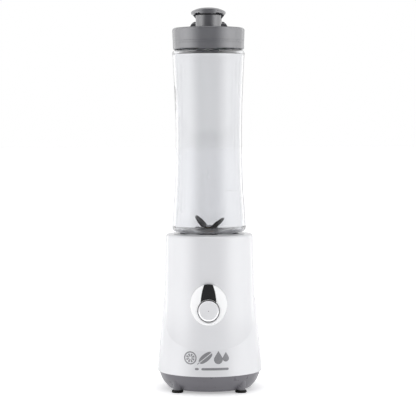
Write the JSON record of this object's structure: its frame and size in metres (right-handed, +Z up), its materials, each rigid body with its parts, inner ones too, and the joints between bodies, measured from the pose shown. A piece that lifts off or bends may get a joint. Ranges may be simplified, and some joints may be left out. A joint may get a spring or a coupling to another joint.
{
  "type": "personal countertop blender",
  "caption": "Personal countertop blender: motor base with push button, twist-in blade unit, double-ended screw bottle and flip-top drinking lid.",
  "frame": {"origin": "centre of the base on the standing surface, at the bottom of the feet", "axes": "+Z up along the bottle, -Y towards the button (front), +Y towards the cord entry"},
  "size_m": [0.1046, 0.1052, 0.3792],
  "materials": {
    "white_plastic": "glossy",
    "bezel_white": "satin",
    "cover_grey": "satin",
    "lid_grey": "semi-gloss",
    "black_rubber": "matte",
    "grey_rubber": "matte",
    "black_gloss": "glossy",
    "black_plastic": "matte",
    "spun_metal": "spun",
    "steel": "polished",
    "zinc_steel": "plated",
    "laminations": "satin",
    "copper": "enamelled wire",
    "commutator_copper": "machined",
    "carbon": "matte",
    "bronze": "sintered",
    "board": "solder mask",
    "component_black": "moulded",
    "coupler_plastic": "moulded",
    "silicone": "satin",
    "clear_plastic": "clear"
  },
  "bodies": {
    "base": {"base_housing": "white_plastic", "base_cover": "cover_grey", "rubber_feet": "black_rubber", "cover_screws": "zinc_steel", "cord_gland": "black_rubber", "button_bezel": "bezel_white", "button_inlay": "black_gloss", "button_spring": "zinc_steel", "power_switch": "component_black", "stator_core": "laminations", "field_coils": "copper", "upper_bearing": "zinc_steel", "lower_bearing": "zinc_steel", "upper_bracket": "black_plastic", "lower_bracket": "black_plastic", "motor_bolts": "zinc_steel", "brush_holders": "commutator_copper", "carbon_brushes": "carbon", "brush_springs": "zinc_steel", "motor_mounts": "black_rubber", "mount_screws": "zinc_steel", "circuit_board": "board", "board_components": "component_black", "board_screws": "zinc_steel", "interlock_switch": "component_black", "interlock_spring": "zinc_steel"},
    "power_button": {"button_body": "black_plastic", "button_face": "spun_metal", "power_switch_plunger": "coupler_plastic"},
    "rotor": {"motor_shaft": "steel", "rotor_core": "laminations", "rotor_windings": "copper", "commutator": "commutator_copper", "cooling_fan": "black_plastic", "drive_coupler": "coupler_plastic"},
    "cam_ring": {"interlock_ring": "cover_grey"},
    "safety_plunger": {"interlock_plunger": "bezel_white"},
    "blade_unit": {"blade_holder": "lid_grey", "deck_ring": "white_plastic", "blade_bushing": "bronze", "shaft_seal": "black_rubber"},
    "blade": {"driven_coupler": "coupler_plastic", "blade_shaft": "steel", "thrust_washers": "bronze", "upper_blade": "steel", "lower_blade": "steel", "blade_nut": "steel"},
    "seal": {"bottle_seal": "silicone"},
    "bottle": {"bottle": "clear_plastic"},
    "cap_seal": {"lid_seal": "silicone"},
    "cap": {"lid": "lid_grey", "hinge_pin": "zinc_steel"},
    "flip_stopper": {"stopper": "lid_grey", "stopper_plug": "grey_rubber"}
  },
  "joints": [
    {"name": "button_press", "type": "slide", "parent": "base", "child": "power_button", "axis": [0, 1, 0], "range_m": [0, 0.0016], "stiffness_N_per_m": 600, "springref_m": -0.0015, "deforming": ["button_spring"]},
    {"name": "motor_spin", "type": "hinge", "parent": "base", "child": "rotor", "pos_m": [0, 0, 0.075], "axis": [0, 0, 1], "continuous": true},
    {"name": "jar_twist", "type": "hinge", "parent": "base", "child": "cam_ring", "pos_m": [0, 0, 0.133], "axis": [0, 0, -1], "range_deg": [0, 25]},
    {"name": "interlock_press", "type": "slide", "parent": "base", "child": "safety_plunger", "axis": [0, 0, -1], "range_m": [0, 0.0027], "stiffness_N_per_m": 12, "springref_m": -0.002, "deforming": ["interlock_spring"]},
    {"name": "jar_lift", "type": "slide", "parent": "cam_ring", "child": "blade_unit", "axis": [0, 0, 1], "range_m": [0, 0.06]},
    {"name": "blade_spin", "type": "hinge", "parent": "blade_unit", "child": "blade", "pos_m": [0, 0, 0.15], "axis": [0, 0, 1], "continuous": true},
    {"name": "bottle_turn", "type": "hinge", "parent": "blade_unit", "child": "seal", "pos_m": [0, 0, 0.14], "axis": [0, 0, 1], "range_deg": [0, 900]},
    {"name": "bottle_lift", "type": "slide", "parent": "seal", "child": "bottle", "axis": [0, 0, 1], "range_m": [0, 0.0301]},
    {"name": "lid_lift", "type": "slide", "parent": "bottle", "child": "cap_seal", "axis": [0, 0, 1], "range_m": [0, 0.0241]},
    {"name": "lid_turn", "type": "hinge", "parent": "cap_seal", "child": "cap", "pos_m": [0, 0, 0.35], "axis": [0, 0, 1], "range_deg": [0, 720]},
    {"name": "stopper_flip", "type": "hinge", "parent": "cap", "child": "flip_stopper", "pos_m": [0, 0.022, 0.363], "axis": [-1, 0, 0], "range_deg": [0, 110]}
  ],
  "couplings": [
    {"joint": "interlock_press", "follows": "jar_twist", "m_per_rad": 0.0059489},
    {"joint": "blade_spin", "follows": "motor_spin", "ratio": 1},
    {"joint": "bottle_lift", "follows": "bottle_turn", "m_per_rad": 0.0019099},
    {"joint": "lid_lift", "follows": "lid_turn", "m_per_rad": 0.0019099}
  ]
}
